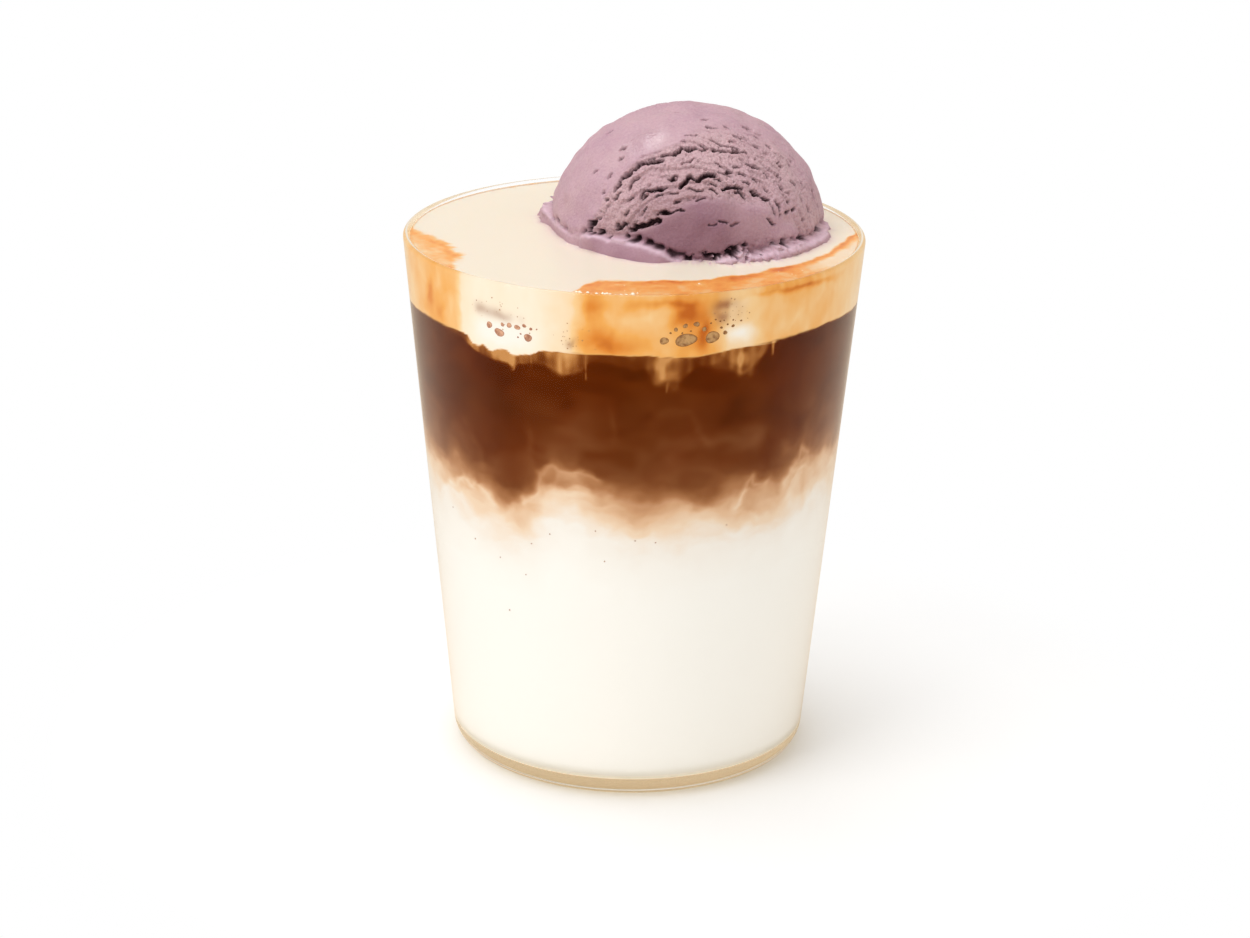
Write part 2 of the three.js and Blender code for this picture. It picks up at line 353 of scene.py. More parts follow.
# Colours of the drink: milk to coffee by how much coffee is in it, and cream to froth. Each row is a
# share and the colour there as it shows on a screen
COFFEE_COLOURS = [
    (0.0, 252, 249, 241), (0.08, 247, 240, 229), (0.2, 241, 214, 184), (0.3, 230, 190, 152),
    (0.4, 208, 158, 117), (0.5, 180, 125, 83), (0.6, 148, 94, 56), (0.7, 122, 69, 36), (0.8, 105, 51, 18),
    (0.9, 92, 40, 9), (1.0, 80, 32, 5),
]
SIDE_CREAM = [
    (0.0, 253, 246, 234), (0.07, 253, 239, 216), (0.3, 249, 208, 150), (0.55, 244, 175, 92),
    (0.8, 228, 140, 58), (1.0, 198, 104, 38),
]
TOP_CREAM = [
    (0.0, 233, 223, 206), (0.3, 235, 190, 134), (0.55, 236, 161, 78), (0.8, 225, 131, 50),
    (1.0, 204, 108, 42),
]


def drink_colour(look, cream_colours):
    """The colour of milk, coffee and cream at the glass, from the values that their meshes carry."""
    share = look.value("coffee")
    brown = look.ramp(share, COFFEE_COLOURS)
    clouds = look.spread(look.noise(9, 3), 0.35, 0.65)
    warmth = look.times(clouds, look.spread(share, 0.5, 0.8, 0, 0.3))
    brown = look.mix(warmth, brown, rgb(255, 205, 160), "MULTIPLY")
    # More golden just below the cream
    golden = look.spread(look.height(), 76 * MM, 81 * MM)
    brown = look.mix(golden, brown, rgb(255, 240, 194), "MULTIPLY")
    pale = look.ramp(look.value("froth_and_shade"), cream_colours)
    # Marks where the ice shows through, and on the cream's top a painted shade line along the glass
    pale = look.mix(look.value("smudge_and_shade"), pale, rgb(150, 88, 60))
    return look.mix(look.value("veil"), brown, pale)


def side_look(name, painted_glow=0.0):
    """Where the drink lies against the glass. The glow is painted light: its bottom emits, standing in for
    light that soaks down to it.
    """
    look = Look(name)
    others = {}
    # Painted light: the bottom of the milk glows
    if painted_glow:
        others["Emission Color"] = rgb(255, 226, 188)
        others["Emission Strength"] = look.spread(look.height(), (FLOOR + 1.2) * MM, FLOOR * MM, 0, painted_glow)
    return look.finish(look.principled(drink_colour(look, SIDE_CREAM), 0.5, 0.0, others))


def cream_top_look():
    look = Look("cream_top")
    # Pink of melted ice cream, and painted shade of the scoop, on the cream round it
    melted_and_shaded = look.mix(look.value("melt_and_shade"), drink_colour(look, TOP_CREAM), rgb(208, 168, 182))
    others = {
        "Subsurface Weight": 0.15,
        "Subsurface Radius": (2.0, 1.2, 0.7),
        "Subsurface Scale": MM,
        "Normal": look.bump(look.noise(14, 2), 0.25),
    }
    return look.finish(look.principled(melted_and_shaded, 0.28, 0.45, others))


GRAIN_SIZE = 0.45  # of the crumbs that the torn face is made of
# How strongly the marks that the mesh carries colour the ice cream, and in what colour. The front sheet's,
# the cracks' and the holes' colours are painted shade, and the crest's is a painted highlight
ICE_CREAM_MARKS = {
    # Painted shade on the lip's front sheet
    "sheet_shade": (0.5, (158, 118, 140)),
    "torn": (0.3, (212, 180, 178)),
    # Painted highlight along the lip's crest
    "crest_highlight": (0.6, (222, 196, 212)),
    # Painted shade in the cracks, holes and the groove behind the lip
    "deep": (1, (44, 18, 28)),
}


def ice_cream_look():
    look = Look("ice_cream")
    broad = look.spread(look.noise(7, 3), 0.3, 0.7)
    grain = look.spread(look.noise(0.5, 2), 0.3, 0.7)
    body = look.mix(broad, rgb(176, 139, 156), rgb(188, 154, 164))
    body = look.mix(look.times(grain, 0.35), body, rgb(208, 178, 184))
    # Painted shade on the dome's lower front
    body = look.mix(look.value("low"), body, rgb(188, 168, 178), "MULTIPLY")
    for mark, (strength, colour) in ICE_CREAM_MARKS.items():
        body = look.mix(look.times(look.value(mark), strength), body, rgb(*colour))
    cells = {"Vector": look.place(), "Scale": 1 / (GRAIN_SIZE * MM)}
    crumbs = look.add("TexVoronoi", cells).outputs["Distance"]
    # Painted shade between the crumbs of the torn face
    shade_between_crumbs = look.times(look.spread(crumbs, 0.45, 0.85), look.value("torn"))
    body = look.mix(look.times(shade_between_crumbs, 0.4), body, rgb(124, 86, 92))
    relief = look.maths("SUBTRACT", look.noise(0.4, 3), look.times(crumbs, look.value("torn")))
    others = {
        "Subsurface Weight": 0.1,
        "Subsurface Radius": (1.2, 0.6, 0.7),
        "Subsurface Scale": MM,
        "Normal": look.bump(relief, 0.18, 0.9),
    }
    roughness = look.spread(look.value("wet"), 0, 1, 0.6, 0.16)
    specular = look.spread(look.value("wet"), 0, 1, 0.35, 0.9)
    return look.finish(look.principled(body, roughness, specular, others))


def glass_look():
    """Clear glass, a little darker at the foot. Lamps shine through it onto the drink."""
    look = Look("glass")
    height = look.height()
    tint = look.mix(look.spread(height, 2 * MM, 6 * MM), rgb(229, 225, 215), rgb(255, 255, 255))
    # The dark side of the studio, where the camera stands, hardly mirrors in the glass
    grazing = look.add("Fresnel", {"IOR": GLASS_IOR}).outputs["Fac"]
    mirror = look.mix(look.spread(grazing, 0.04, 0.16), (0.06, 0.06, 0.06, 1), (1, 1, 1, 1))
    others = {"IOR": GLASS_IOR, "Transmission Weight": 1.0, "Specular Tint": mirror}
    clear = look.principled(tint, 0.0, 0.5, others)
    path = look.add("LightPath").outputs
    past = look.maths("MAXIMUM", path["Is Shadow Ray"], path["Is Diffuse Ray"])
    through = look.shader("BsdfTransparent", {"Color": tint})
    glass = look.shader("MixShader", {0: past, 1: clear, 2: through})
    # Light that is caught in the wall and turns back again and again ends in painted light: the glass glows
    # as pale as the cream
    turns_back = look.spread(height, 92 * MM, 93 * MM, 3.5, 2.5)
    painted_glow_share = look.maths("GREATER_THAN", path["Ray Depth"], turns_back)
    painted_glow_share = look.times(painted_glow_share, look.spread(height, 12 * MM, 14 * MM))
    painted_glow_share = look.times(painted_glow_share, look.maths("SUBTRACT", 1.0, past))
    pale = look.shader("Emission", {"Color": rgb(246, 234, 216), "Strength": 1.0})
    return look.finish(look.shader("MixShader", {0: painted_glow_share, 1: glass, 2: pale}))


# Glass

GLASS_STEPS = 600


def arc(middle_radius, middle_z, radius, start, end, steps=10):
    angles = np.linspace(start, end, steps + 1)
    return np.stack([middle_radius + radius * np.cos(angles), middle_z + radius * np.sin(angles)], -1)


def floor_corner(side, floor_z, radius, steps=10):
    """Rounded corner between a level floor and a side that leans outwards."""
    middle_z = floor_z + radius
    middle = side(middle_z) - radius / math.cos(TAPER)
    return arc(middle, middle_z, radius, -math.pi / 2, -TAPER, steps)


def turns(steps):
    """Azimuths of a ring's points, from -180 to 180 degrees, in radians."""
    return 2 * np.pi * (np.arange(steps) / steps - 0.5)


def around(profile, steps):
    """Rings of points round the glass's axis through a profile of radius and height."""
    return polar(turns(steps), profile[:, :1], profile[:, 1:])


def tumbler():
    rim_round = WALL / 2
    rim_z = GLASS_HEIGHT - rim_round
    rim_middle = outer_radius(rim_z) - rim_round / math.cos(TAPER)
    punt = [[0.5 * PUNT_RADIUS, PUNT_RISE], [PUNT_RADIUS - 3, PUNT_RISE]]
    punt_edge = [[PUNT_RADIUS - 3 + 3 * t, PUNT_RISE * (1 - smooth(t, 0, 1))] for t in (0.25, 0.5, 0.75, 1)]
    profile = np.concatenate([
        punt,
        punt_edge,
        floor_corner(outer_radius, 0, OUTER_CORNER),
        arc(rim_middle, rim_z, rim_round, -TAPER, math.pi - TAPER, 16),
        floor_corner(inner_radius, FLOOR, INNER_CORNER)[::-1],
        [[0.5 * PUNT_RADIUS, FLOOR]],
    ])
    made = ringed("tumbler", [0, 0, PUNT_RISE], around(profile, GLASS_STEPS), [0, 0, FLOOR])
    stands_for(made, "glass", glass_look())


# Drink

DRINK_STEPS = 800  # round the glass, 0.3 mm apart
FINE = 0.3
SUNK_CREAM = 0.72  # the most cream there is in what sinks from it

# Where milk and coffee are mixed half and half at the glass: azimuth, height
MILK_BORDER = [
    [-180, 59], [-120, 61], [-80, 61], [-64, 60.5], [-50, 59.8], [-40, 57.6], [-33, 57.2], [-28, 58.5],
    [-24, 61.2], [-20, 63.6], [-15, 63.8], [-10, 61.4], [-3, 60], [5, 59.2], [15, 58.4], [27, 59.4],
    [31, 60.2], [36, 59.4], [42, 59], [48, 60], [53, 62.8], [57, 62.4], [61, 61.2], [66, 62.2],
    [80, 60.6], [120, 60.5], [180, 59],
]
# Coffee's share by height over that border
MIXING = [
    [-19, 0], [-14, 0.03], [-10, 0.08], [-7, 0.14], [-4.5, 0.21], [-2.5, 0.28], [-0.8, 0.38], [0.6, 0.51],
    [3, 0.65], [6, 0.74], [10, 0.82], [17, 0.9], [24, 0.94],
]
# Lighter and darker clouds in it: azimuth, height, half width in degrees, half height, coffee added
CLOUDS = [
    [12, 72.5, 10, 6, -0.1], [16, 79, 5, 2.5, -0.06], [-18, 61.9, 4.5, 1.1, 0.14],
    [-28, 69, 1.1, 4, -0.08], [35, 69, 3, 3.5, -0.1], [-5.5, 74, 0.6, 4, -0.05], [-52, 69, 5, 4, -0.07],
    [-57, 57.5, 6, 2.5, 0.1], [4, 56.4, 9, 1.8, 0.1], [33, 55.5, 4, 2.5, 0.07], [55, 57, 3.5, 3, 0.1],
    [-35, 60.5, 6, 2, 0.08], [-18, 77, 2.4, 2, 0.12], [45, 66, 4, 3, -0.08], [38, 55.5, 9, 4, 0.06],
]
# Paler threads: how much paler, and points of azimuth and height along each
THREADS = [
    [0.1, [[-59, 55.4], [-55, 56], [-51.5, 58.7], [-49, 57.6], [-46, 58.9], [-44.5, 57], [-41, 55.8]]],
    [0.1, [[29, 57.2], [32, 59.2], [34.5, 61.6], [36, 59.8], [40, 59.2]]],
    [0.1, [[46, 58.4], [50, 61.4], [53, 64.6], [56, 63.4]]],
    [0.12, [[-30, 57], [-26, 59.2], [-24.8, 62.6], [-21.6, 64.4], [-14, 64.6], [-9.4, 63]]],
    [0.06, [[4.3, 73.9], [8.9, 75.9], [14.6, 76.2], [18.4, 72.2], [21.1, 69.6]]],
    [0.04, [[6.9, 81.3], [14.7, 79.2], [22.9, 77.7]]], [0.03, [[-5.9, 77.5], [-5.1, 70.9]]],
    [0.05, [[-50, 70], [-45, 66], [-44, 62]]],
]
# The cream's lower edge at the glass, how low its veil sinks into the coffee and how dense that is
CREAM_EDGE = [
    [-180, 87, 84, 0.3], [-150, 87, 82.5, 0.5], [-120, 86.6, 85, 0.3], [-85, 86, 86, 0.2],
    [-66, 86.9, 86.8, 0], [-50, 86.9, 86.2, 0.3], [-46, 86.4, 84.8, 0.6], [-44, 85.2, 84, 0.7],
    [-36, 85.2, 82.9, 0.7], [-31.5, 85.1, 81.6, 0.8], [-29.5, 85.1, 83.4, 0.65], [-27, 85.4, 84, 0.5],
    [-24, 86.4, 83.7, 0.5], [-20, 86.6, 82.3, 0.6], [-17.5, 86.8, 80.9, 0.62], [-15, 86.9, 82.8, 0.5],
    [-12.5, 86.9, 83.4, 0.6], [-11, 86.9, 85.4, 0.25], [-3, 86.8, 84.6, 0.22], [3, 86.8, 84.2, 0.3],
    [5, 86.7, 81.8, 0.55], [8, 86.5, 80.2, 0.65], [11, 86.4, 80.6, 0.55], [13.5, 86.3, 82.6, 0.45],
    [16, 86.4, 84.6, 0.3], [25, 87, 83.2, 0.55], [28.5, 87.2, 81, 0.65], [31, 87.3, 81.5, 0.6],
    [34, 87.4, 83.6, 0.5], [36, 87.5, 86.2, 0.3], [39, 87.6, 87.3, 0.1], [56, 87.8, 87.7, 0],
    [75, 87, 86.8, 0.1], [100, 86.6, 85.4, 0.3], [130, 86.6, 82.5, 0.5], [160, 87, 84, 0.35],
    [180, 87, 84, 0.3],
]
# Thin drips of it: azimuth, how low, half width in degrees, how dense
DRIPS = [
    [-31.3, 81.8, 1, 0.6], [-26.3, 82.2, 0.4, 0.5], [-11.7, 81.8, 0.45, 0.45], [37.2, 84.6, 0.9, 0.6],
    [-33.5, 83.9, 0.6, 0.6], [-37.5, 84.2, 0.6, 0.5], [8.6, 79.8, 1.2, 0.4],
]
# Orange coffee froth that stains the cream at the glass by azimuth, and spots with more or less of it
FROTH = [
    [-180, 0.3], [-150, 0.09], [-105, 0.09], [-92, 0.25], [-70, 0.29], [-60, 0.38], [-50, 0.34],
    [-47.3, 0.1], [-42, 0.06], [-24, 0.07], [-15, 0.16], [-11, 0.4], [0, 0.36], [8, 0.34], [14, 0.46],
    [20, 0.42], [24, 0.24], [30, 0.2], [36, 0.34], [55, 0.32], [66, 0.22], [90, 0.2], [120, 0.1],
    [150, 0.05], [180, 0.3],
]
FROTH_SPOTS = [
    [-61, 91, 2.2, 5, 0.16], [-56, 88.5, 2, 2, 0.14], [-8.5, 89.5, 4, 2, 0.26], [-2, 88.6, 5, 1.2, 0.16],
    [-8, 95.6, 5, 1.5, 0.12], [13, 94.6, 3.5, 2.2, 0.36], [17.5, 90.5, 1.3, 3.2, 0.3],
    [8, 96.3, 7, 0.8, 0.28], [44, 96.6, 13, 0.6, 0.3], [26.5, 90, 4, 2, -0.22], [-34, 88.6, 9, 2.6, -0.1],
    [0, 92.5, 5, 2, -0.1], [40, 90.5, 6, 1.8, -0.06],
]
# How near the axis the froth comes on top: azimuth, radius
FROTH_SHORE = [
    [-180, 36], [-160, 40], [-104, 42], [-97, 41.2], [-90, 38], [-82, 35.4], [-73, 33.5], [-64, 34],
    [-58, 36.2], [-51, 39.6], [-48, 42], [-17, 42], [-14.4, 33.9], [-11.5, 29.6], [2, 29.2], [22, 30.4],
    [42, 31.4], [61, 33.6], [79, 36.6], [90, 39.3], [98, 40.8], [108, 42], [150, 42], [180, 36],
]
# Darker marks where ice shows through the cream: azimuth from and to, height there, half height, strength
SMUDGES = [
    [-41, -29, 92.4, 91.6, 1, 0.55], [-15.2, -14.2, 88.3, 89.2, 0.8, 0.6], [22, 24.4, 94.4, 94.6, 1.9, 1],
]


def on_wall(azimuth, z, size, shift=0):
    """Noise coordinates on the glass: degrees and millimetres over a size in millimetres."""
    turn = np.radians(azimuth)
    return WALL_RADIUS * np.sin(turn) / size + shift, WALL_RADIUS * np.cos(turn) / size, z / size


def swirled(azimuth, z, size, reach, shift=0):
    """Azimuth and height carried along by a slow swirl, by up to about half of reach."""
    across = layered(*on_wall(azimuth, z, size, shift + 3.1))
    up = layered(*on_wall(azimuth, z, size, shift + 41.7))
    return azimuth + np.degrees(reach * across / WALL_RADIUS), z + reach * up


def spots(rows, azimuth, z):
    """The sum of soft spots: azimuth, height, half width in degrees, half height, amount."""
    total = 0
    for at, height, wide, tall, amount in rows:
        total = total + amount * np.exp(-((azimuth - at) / wide) ** 2 - ((z - height) / tall) ** 2)
    return total


def coffee_share(azimuth, z):
    """How much coffee is in the milk at the glass, 0 to 1."""
    a, h = swirled(azimuth, z, 6, 3)
    sheets = layered(*on_wall(0.45 * a, h, 4, 44), layers=4)
    a, h = swirled(a, h + 2.8 * sheets, 2.1, 1.1, 9)
    over = h - table(MILK_BORDER, a)
    drawn_a, drawn_z = swirled(azimuth, z * 1.6, 9, 12, 21)
    cloud = layered(*on_wall(drawn_a, drawn_z, 8, 60))
    share = table(MIXING, over)
    share = share + spots(CLOUDS, a, h) + 0.3 * cloud * smooth(share, 0.3, 0.8)
    haze = layered(*on_wall(0.6 * a, 1.4 * h, 3, 71), layers=4)
    share = share + 0.16 * haze * smooth(np.abs(share - 0.3), 0.3, 0.1)
    scale = np.array([math.radians(WALL_RADIUS), 1])
    for paler, points in THREADS:
        away = from_path(np.array(points) * scale, np.stack([a, h], -1) * scale)[0]
        share = share - paler * (0.7 * smooth(away, 1.4, 0.1) + 0.3 * smooth(away, 0.5, 0.1))
    return np.clip(share, 0, 1)


def cream_veil(azimuth, z):
    """How much cream hides the coffee at the glass: all in the cream, less in what sinks from it."""
    a, h = swirled(azimuth, z, 2, 1.1, 70)
    foam = smooth(azimuth, -45, -43.5) * smooth(azimuth, -28, -30)
    teeth = 1.3 * foam * (noise(*on_wall(azimuth, 0, 1.4, 5)) - 0.5)
    edge = table(CREAM_EDGE, a) + teeth
    veil = smooth(z + 0.3 * (h - z), edge - 0.3 - 0.5 * foam, edge + 0.25)
    low = np.minimum(table(CREAM_EDGE, a, 2), edge - 0.3)
    density = table(CREAM_EDGE, a, 3)
    sunk = (edge - h) / (edge - low)
    folds = noise(*on_wall(azimuth * 3, z * 0.4, 2.4, 14))
    cloud = noise(*on_wall(a, h, 1.7, 26))
    body = density * (1 - 0.4 * np.clip(sunk, 0, 1)) * (0.15 + 0.8 * folds + 0.9 * cloud)
    body = body + 0.12 * density * np.exp(-(((sunk - 0.9) / 0.14) ** 2))
    body = np.minimum(body * smooth(sunk + 0.5 * cloud, 1.4, 0.95), SUNK_CREAM)
    veil = np.maximum(veil, body * smooth(z, edge + 0.5, edge - 0.2))
    for middle, low, half, dense in DRIPS:
        width = half * (0.35 + 0.65 * smooth(z, low, edge))
        drip = dense * smooth(np.abs(azimuth + 0.5 * (a - azimuth) - middle), width, 0.4 * width)
        veil = np.maximum(veil, drip * smooth(z, low - 0.2, low + 0.4) * smooth(z, edge + 1, edge))
    return np.clip(veil, 0, 1)


def froth_at_glass(azimuth, z):
    """How much coffee froth stains the cream at the glass."""
    a, h = swirled(azimuth, z, 4, 2.4, 90)
    a, h = swirled(a, h, 1.5, 0.7, 30)
    stain = table(FROTH, a) + spots(FROTH_SPOTS, a, h)
    streak = layered(*on_wall(azimuth * 2.2, z * 0.35, 4, 33))
    cloud = layered(*on_wall(a, h * 0.7, 3.5, 12))
    stain = 1.33 * stain * (1 + 0.3 * streak * smooth(z, 86, 93) + 0.75 * cloud)
    return np.clip(stain, 0, 1)


def froth_on_top(azimuth, radius):
    """How much coffee froth stains the cream's top near the glass, with a painted shadow line along the
    glass.
    """
    left = smooth(azimuth, -48, -60)
    across = 2.6 * layered(*on_wall(azimuth, radius, 5, 12))
    wisps = smooth(np.abs(azimuth + 11), 9, 3)
    across = across + (0.8 + 1.6 * left + 2 * wisps) * layered(*on_wall(azimuth, radius, 1.4, 2))
    inside = radius + across - table(FROTH_SHORE, azimuth)
    a, r = swirled(azimuth, radius, 4, 3, 15)
    marble = layered(*on_wall(a, r * 1.6, 4, 51))
    edge = smooth(inside, 0, 0.5) * smooth(inside, 3.5, 0.8)
    fading = 1 - 0.8 * smooth(azimuth, 48, 66) * smooth(inside, 0.6, 2.6)
    grain = layered(*on_wall(azimuth, radius, 0.9, 77))
    amount = 0.56 + 0.7 * marble + 0.3 * grain + 0.2 * edge - 0.2 * left
    # Painted shadow along the glass, in the froth's colour
    shadow = 0.2 * smooth(radius - drink_radius(CREAM_TOP), -0.5, -0.15)
    blurred = smooth(inside, -0.4 - 0.6 * left - wisps, 0.6 + left + 1.5 * wisps)
    return np.clip(blurred * amount * fading + shadow, 0, 1)


def ice_smudge(azimuth, z):
    """How strongly the ice behind the cream marks it at the glass."""
    total = 0
    cloud = noise(*on_wall(azimuth, z, 1.6, 8))
    for left, right, z_left, z_right, half, strength in SMUDGES:
        share = np.clip((azimuth - left) / (right - left), 0, 1)
        beyond = np.radians(np.maximum(np.maximum(left - azimuth, azimuth - right), 0)) * WALL_RADIUS
        away = np.hypot(z - z_left - (z_right - z_left) * share, beyond) / half
        fade = 1 - 0.7 * smooth(share, 0.3, 1)
        total = np.maximum(total, strength * fade * np.exp(-(away ** 2)))
    return np.clip(total * (0.3 + 1.3 * cloud), 0, 1)


def paint_side(made):
    """Gives a piece of the drink the values that colour it at the glass."""
    x, y, z = points_of(made).T
    azimuth = np.degrees(np.arctan2(x, -y))
    veil = cream_veil(azimuth, z)
    set_values(made, "coffee", coffee_share(azimuth, z) * (1 - 0.72 * np.minimum(veil / 0.9, 1)))
    set_values(made, "veil", smooth(veil, SUNK_CREAM, 1))
    set_values(made, "froth_and_shade", froth_at_glass(azimuth, z))
    set_values(made, "smudge_and_shade", ice_smudge(azimuth, z))


def milk_swing(azimuth):
    plume = 4 * np.exp(-(((azimuth - math.radians(-17)) / math.radians(9)) ** 2))
    return plume + 2 * np.cos(azimuth - math.radians(80)) + 0.7 * np.sin(5 * azimuth)


def cream_swing(azimuth):
    return 0.5 * np.cos(azimuth - math.radians(70)) + 0.4 * np.sin(7 * azimuth)


COLUMNS = turns(DRINK_STEPS)


def border_rings(mean, swing, shares):
    """Rings across a border of two layers, at shares of the way out to the glass."""
    rings = []
    for share in shares:
        z = mean + share * swing(COLUMNS)
        rings.append(polar(COLUMNS, drink_radius(z) * share, z))
    return rings


def wall_rings(low, high, step):
    """Rings up the wall between two heights, which may change round it."""
    rows = max(1, round(float(np.max(high - low)) / step))
    heights = [low + (high - low) * row / rows for row in range(rows + 1)]
    return [polar(COLUMNS, drink_radius(z), z) for z in heights]


def drink_layer(node, first, rings, last, look):
    """A layer of the drink. Its side is shaded smooth, and its edges stay, to join the next layer's."""
    made = ringed(node + "_layer", first, rings, last)
    made.data.set_sharp_from_angle(angle=math.radians(50))
    paint_side(made)
    stands_for(made, node, look)
    return made


def milk():
    corner = floor_corner(drink_radius, FLOOR - REACH, INNER_CORNER, 8)
    # Rings are close only where there is coffee in it
    fine_from, coarse, gap = 42, 6, 4
    rings = [
        *around(np.array([[16, FLOOR - REACH], *corner]), DRINK_STEPS),
        *wall_rings(corner[-1, 1] + gap, fine_from - gap, coarse),
        *wall_rings(fine_from, MILK_TOP + milk_swing(COLUMNS), FINE),
        *border_rings(MILK_TOP, milk_swing, (0.75, 0.4)),
    ]
    drink_layer("milk", [0, 0, FLOOR - REACH], rings, [0, 0, MILK_TOP], side_look("milk", painted_glow=0.32))


def coffee():
    rings = [
        *border_rings(MILK_TOP, milk_swing, (0.4, 0.75)),
        *wall_rings(MILK_TOP + milk_swing(COLUMNS), COFFEE_TOP + cream_swing(COLUMNS), FINE),
        *border_rings(COFFEE_TOP, cream_swing, (0.75, 0.4)),
    ]
    drink_layer("coffee", [0, 0, MILK_TOP], rings, [0, 0, COFFEE_TOP], side_look("coffee"))


# Scoop

SCOOP_STEPS = 420
SCOOP_CROWDING = 0.45  # of its columns towards the front
# The marks for the cracks, the front sheet and the lower front carry painted shade, and the crest's a
# painted highlight
SCOOP_MARKS = ["deep", "sheet_shade", "wet", "low", "torn", "crest_highlight"]


def lip_at(azimuth):
    """The lip's reach, height, groove and crumbliness at an azimuth about the scoop, in radians."""
    rows = np.array([*LIP, [LIP[0][0] + 360, *LIP[0][1:]]], float)
    at = (np.degrees(azimuth) - rows[0, 0]) % 360 + rows[0, 0]
    row = np.clip(np.searchsorted(rows[:, 0], at, "right") - 1, 0, len(rows) - 2)
    share = smooth(at, rows[row, 0], rows[row + 1, 0])
    return [rows[row, column] * (1 - share) + rows[row + 1, column] * share for column in (1, 2, 3, 4)]


def laid_flat(out, turned):
    """Places on the dome laid flat, in millimetres from the foot of its front."""
    across, up = np.sin(np.radians(turned)), np.cos(np.radians(turned))
    return SCOOP_RADIUS * np.radians(out)[..., None] * np.stack([across, up], -1)


def crack_depth(out, turned, mm):
    """How deep the cracks and slits cut, with ragged edges. mm are the places on the dome."""
    ragged = out + 1.6 * layered(*scaled(mm + 50, 3)) + 2.6 * layered(*scaled(mm, 1), layers=4)
    place = laid_flat(ragged, turned)
    place = place + 0.6 * np.stack([layered(*scaled(mm + shift, 0.8)) for shift in (70, 90)], -1)
    depth = 0
    for deepest, half, points in CRACKS:
        wide = half * (0.35 + 1.3 * noise(*scaled(mm + 9 * deepest, 1.3)))
        away, nearest = from_path(laid_flat(*np.array(points, float).T), place)
        above = SCOOP_RADIUS * np.radians(ragged) > np.hypot(nearest[..., 0], nearest[..., 1])
        depth = np.maximum(depth, deepest * smooth(away / np.where(above, 0.7, 1.3), wide, 0.4 * wide))
    for at, turn in DASHES:
        away = np.hypot(ragged - at, (turned - turn) * np.sin(np.radians(out)) / 3)
        depth = np.maximum(depth, 0.8 * smooth(away, 0.8, 0.35))
    return depth


# The torn face's lower and upper border, how far the upper one is blurred and how torn it is: turn, and
# degrees out or the amount there
TORN_LOW = [
    [-90, 38], [-69, 28], [-55, 22], [-27, 19], [-5, 22], [10, 26], [31, 30], [49, 34], [63, 41],
    [73, 46], [90, 60],
]
TORN_HIGH = [
    [-90, 40], [-70, 46], [-48, 47], [-9, 53], [6, 60], [20, 68], [40, 74], [60, 80], [90, 90],
]
TORN_BLUR = [[-6, 1.2], [12, 9], [40, 14]]
TORN_AMOUNT = [[10, 1], [45, 0.85], [70, 0.6], [100, 0.45]]


def torn_zone(out, turned):
    """Where the dome's face is torn open, 0 to 1: above its smooth foot and right of its smooth skin."""
    low = table(TORN_LOW, turned)
    high = table(TORN_HIGH, turned)
    blur = table(TORN_BLUR, turned)
    face = smooth(out, low - 2, low + 4) * smooth(out, high + blur, high - blur)
    back = smooth(out, 96, 108) * smooth(out, 140, 128)
    return np.maximum(face * table(TORN_AMOUNT, turned), 0.6 * back)


def torn_relief(along, across, mm, torn):
    """How far the torn face lies in, and the part of that in holes. along and across are millimetres."""
    level = 0 * along
    # Ledges along the contours: each draws back upwards and ends under the edge of the next
    phase = across / 1.7 + 1.9 * layered(along / 8, across / 4, 7 + level)
    phase = phase + 0.6 * layered(along / 1.4, across / 1.4, 9 + level, layers=4)
    ledge = np.floor(phase)
    step = phase - ledge
    strength = smooth(noise(along / 3.2, 7.3 * ledge, 5 + level), 0.3, 0.9)
    recess = (0.05 + 0.45 * strength) * smooth(step, 0, 0.9)
    slit = smooth(noise(along / 1.5, 5.1 * ledge, 13 + level), 0.82 - 0.2 * torn, 0.92 - 0.2 * torn)
    slit = slit * smooth(step, 0.7, 0.85) * smooth(step, 1, 0.95)
    pit = smooth(noise(along / 0.7, across / 0.45, 19 + level), 0.8, 0.92) * smooth(torn, 0.3, 0.8)
    pit = pit * smooth(noise(*scaled(mm + 8, 3)), 0.35, 0.6)
    holes = smooth(torn, 0.1, 0.5) * (0.65 * slit + 0.4 * pit)
    return torn * (0.2 + recess - 0.36 * layered(*scaled(mm, 0.6))) + holes, holes


def with_lip(azimuth, elevation, skin, mm):
    """The dome's radius with the lip at its foot, and how much is lip, groove and the lip's crest, which
    gets a painted highlight.
    """
    reach, height, behind, crumbly = lip_at(azimuth)
    rough = noise(azimuth * 8, elevation * 9, 3 + 0 * azimuth) - 0.5
    clod = layered(azimuth * 20, elevation * 22, 11 + 0 * azimuth)
    crumbs = layered(azimuth * 36, elevation * 36, 15 + 0 * azimuth)
    clod = clod + (crumbs - 0.6 * clod) * smooth(crumbly, 0.5, 0.9)
    up = SCOOP_RADIUS * np.tan(elevation)
    curl = 1 - 0.35 * np.clip(up / height, 0, 1) ** 3
    face = SCOOP_RADIUS + reach * curl + LIP_ROUGHNESS * rough + 1.5 * crumbly * clod
    over = up - height - LIP_ROUGHNESS * rough - (0.4 + 1.5 * crumbly) * clod
    on_lip = 1 - smooth(over, 0, LIP_TOP)
    holes = smooth(noise(*scaled(mm, 1.0)), 0.45, 0.75)
    groove = behind * GROOVE * (0.5 + 1.8 * holes) * np.exp(-(((over - LIP_TOP) / GROOVE) ** 2))
    radius = skin + (np.maximum(skin, face / np.cos(elevation)) - skin) * on_lip - groove
    # Where the lip's crest gets a painted highlight
    crest_highlight = np.clip(reach + 0.4, 0, 1) * np.exp(-(((over + 0.15) / 0.35) ** 2))
    return radius, on_lip, groove, crest_highlight


